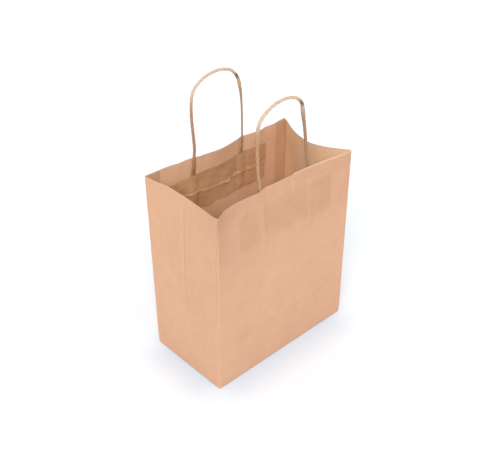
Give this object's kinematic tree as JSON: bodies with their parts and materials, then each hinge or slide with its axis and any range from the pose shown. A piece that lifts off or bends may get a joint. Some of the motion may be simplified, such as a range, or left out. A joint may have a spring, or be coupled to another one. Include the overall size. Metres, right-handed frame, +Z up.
{
  "type": "paper carrier bag",
  "caption": "Small kraft paper carrier bag with a block bottom, folded gussets and twisted paper handles, standing open.",
  "frame": {"origin": "middle of the base, on the surface that the bag stands on", "axes": "+Z up through the mouth, X along the width of the front and back panels, the front panel faces -Y, the gussets face -X and +X"},
  "size_m": [0.22, 0.12, 0.352],
  "materials": {
    "kraft_paper": "matt brown kraft paper with soft creases",
    "twisted_paper_cord": "tightly twisted kraft paper cord",
    "glued_patch_paper": "darker kraft strip, stiff with glue"
  },
  "bodies": {
    "root": {"paper_bag": "kraft_paper", "front_handle": "twisted_paper_cord", "back_handle": "twisted_paper_cord", "front_patch": "glued_patch_paper", "back_patch": "glued_patch_paper", "front_patch_cover": "glued_patch_paper", "back_patch_cover": "glued_patch_paper"}
  },
  "joints": []
}
